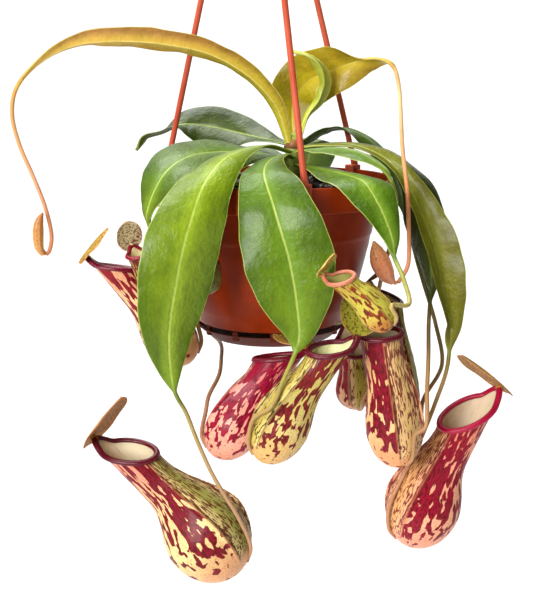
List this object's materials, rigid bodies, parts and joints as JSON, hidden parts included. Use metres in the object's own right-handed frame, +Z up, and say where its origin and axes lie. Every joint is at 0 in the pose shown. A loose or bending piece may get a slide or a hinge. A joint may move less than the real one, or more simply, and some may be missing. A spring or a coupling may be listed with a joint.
{
  "type": "hanging pitcher plant",
  "caption": "Tropical pitcher plant with strap leaves, tendrils and blotched pitchers, in a round hanging pot with a clip-on saucer and a three-armed hanger.",
  "frame": {"origin": "top of the inner curve of the hanger's hook, where the rail it hangs on bears", "axes": "+Z up along the load line, +X to the viewer's right, -Y towards the viewer who sees the front leaves"},
  "size_m": [0.2786, 0.2142, 0.4733],
  "materials": {
    "pot": "terracotta moulded plastic, glossier on the band",
    "saucer": "terracotta moulded plastic",
    "growing_mix": "damp peat, bark and white mineral bits, rough",
    "hanger": "terracotta moulded plastic",
    "stem": "smooth green plant stem",
    "leaf": "glossy leathery green leaf",
    "young_leaf": "glossy golden young leaf",
    "bud": "soft brown and salmon young pitcher",
    "pitcher": "cream and crimson blotched waxy wall",
    "lip": "hard glossy crimson ribbed lip",
    "lid": "ochre speckled lid"
  },
  "bodies": {
    "root": {"pot": "pot", "saucer": "saucer", "soil": "growing_mix", "hanger_hook": "hanger", "hanger_arm_left": "hanger", "hanger_arm_front": "hanger", "hanger_arm_right": "hanger", "stem": "stem", "leaf_long_left": "young_leaf", "leaf_furled": "leaf", "leaf_upright": "young_leaf", "leaf_back_left": "leaf", "leaf_left": "leaf", "leaf_front_left": "leaf", "leaf_front": "leaf", "leaf_right_front": "leaf", "leaf_long_right": "leaf", "leaf_small_right": "leaf", "leaf_dark_right": "leaf", "leaf_right_back": "leaf", "leaf_back": "leaf", "leaf_under_left": "leaf", "leaf_back_under": "leaf", "leaf_under_front": "leaf", "bud_left": "bud", "bud_right": "bud", "pitcher_lower_left_cup": "pitcher", "pitcher_lower_left_lip": "lip", "pitcher_lower_left_lid": "lid", "pitcher_lower_right_cup": "pitcher", "pitcher_lower_right_lip": "lip", "pitcher_lower_right_lid": "lid", "pitcher_front_cup": "pitcher", "pitcher_front_lip": "lip", "pitcher_front_lid": "lid", "pitcher_red_cup": "pitcher", "pitcher_red_lip": "lip", "pitcher_red_lid": "lid", "pitcher_upper_cup": "pitcher", "pitcher_upper_lip": "lip", "pitcher_upper_lid": "lid", "pitcher_centre_right_cup": "pitcher", "pitcher_centre_right_lip": "lip", "pitcher_centre_right_lid": "lid", "pitcher_behind_centre_cup": "pitcher", "pitcher_behind_centre_lip": "lip", "pitcher_behind_centre_lid": "lid", "pitcher_behind_right_cup": "pitcher", "pitcher_behind_right_lip": "lip", "pitcher_behind_right_lid": "lid", "pitcher_left_cup": "pitcher", "pitcher_left_lip": "lip", "pitcher_left_lid": "lid", "pitcher_small_left_cup": "pitcher", "pitcher_small_left_lip": "lip", "pitcher_small_left_lid": "lid", "pitcher_back_cup": "pitcher", "pitcher_back_lip": "lip", "pitcher_back_lid": "lid", "pitcher_tiny": "pitcher"}
  },
  "joints": []
}
